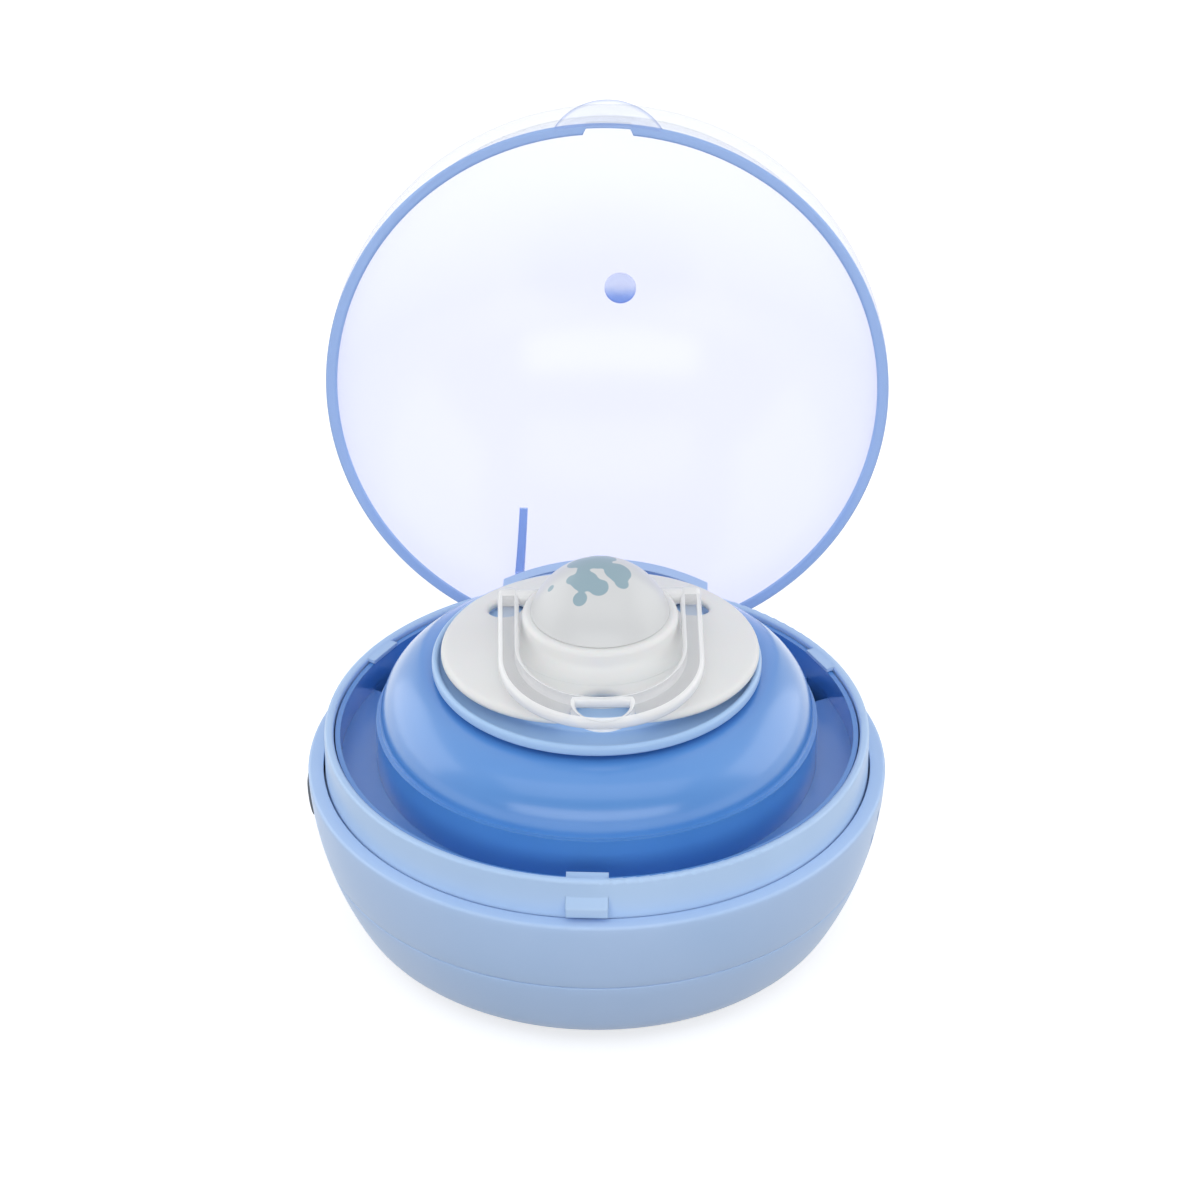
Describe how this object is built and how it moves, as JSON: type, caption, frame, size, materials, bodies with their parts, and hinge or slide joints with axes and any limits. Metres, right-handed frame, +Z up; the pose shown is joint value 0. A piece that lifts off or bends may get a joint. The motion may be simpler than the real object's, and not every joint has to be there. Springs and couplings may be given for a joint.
{
  "type": "pacifier sterilizer case",
  "caption": "Ball-shaped pocket steriliser for a baby's soother: clear hinged lid, domed deck with a round seat, UV lamp below it, side power button, battery door underneath.",
  "frame": {"origin": "centre of the flat grip pad that the case stands on", "axes": "+Z up, -Y towards the front where the lid opens, +X to the right of someone facing the front"},
  "size_m": [0.0882, 0.1349, 0.1129],
  "materials": {
    "shell_plastic": "satin moulded light blue",
    "collar_plastic": "satin moulded pale blue",
    "deck_plastic": "glossy moulded blue",
    "clear_lid": "clear, faintly blue, polished",
    "button_plastic": "matte grey",
    "soother_plastic": "satin off-white",
    "ring_clear": "clear, polished",
    "knob_plastic": "satin off-white with a printed pattern",
    "teat_silicone": "translucent silicone",
    "seal_rubber": "matte rubber",
    "reflector": "bright metallised plastic",
    "quartz": "clear polished",
    "led_board": "white solder mask",
    "led_package": "ceramic and clear cap",
    "circuit_board": "green solder mask",
    "beeper_black": "black moulded",
    "tray_plastic": "matte moulded",
    "cell_case": "printed sleeve, plain",
    "contact_metal": "plated spring sheet",
    "screw_steel": "zinc plated"
  },
  "bodies": {
    "case": {"lower_shell": "shell_plastic", "upper_shell": "shell_plastic", "collar_ring": "collar_plastic", "dome_deck": "deck_plastic", "soother_seat": "collar_plastic", "reflector_cup": "reflector", "quartz_window": "quartz", "window_seal": "seal_rubber", "uv_led_board": "led_board", "uv_led": "led_package", "main_board": "circuit_board", "beeper": "beeper_black", "button_board": "circuit_board", "button_switch": "beeper_black", "battery_tray": "tray_plastic", "battery_front": "cell_case", "battery_middle": "cell_case", "battery_rear": "cell_case", "contact_springs": "contact_metal", "contact_plates": "contact_metal", "case_screws": "screw_steel", "board_screws": "screw_steel", "hinge_pins": "screw_steel"},
    "lid": {"lid": "clear_lid"},
    "button": {"power_button": "button_plastic"},
    "door": {"battery_door": "shell_plastic", "grip_pad": "seal_rubber"},
    "soother": {"soother_shield": "soother_plastic", "soother_teat": "teat_silicone", "teat_plug": "soother_plastic", "soother_knob": "knob_plastic"},
    "ring": {"soother_ring": "ring_clear"}
  },
  "joints": [
    {"name": "lid_hinge", "type": "hinge", "parent": "case", "child": "lid", "pos_m": [0, 0.0396, 0.0265], "axis": [-1, 0, 0], "range_deg": [-97, 0]},
    {"name": "power_button_press", "type": "slide", "parent": "case", "child": "button", "axis": [1, 0, 0], "range_m": [0, 0.0008], "stiffness_N_per_m": 1500, "springref_m": -0.0002},
    {"name": "battery_door_turn", "type": "hinge", "parent": "case", "child": "door", "pos_m": [0, 0, 0.0015], "axis": [0, 0, 1], "range_deg": [0, 22]},
    {"name": "soother_lift", "type": "slide", "parent": "case", "child": "soother", "axis": [0, 0, 1], "range_m": [0, 0.06]},
    {"name": "soother_ring_swing", "type": "hinge", "parent": "soother", "child": "ring", "pos_m": [0.00019, 0.00599, 0.05238], "axis": [-0.9986, -0.0523, 0], "range_deg": [0, 120]}
  ]
}
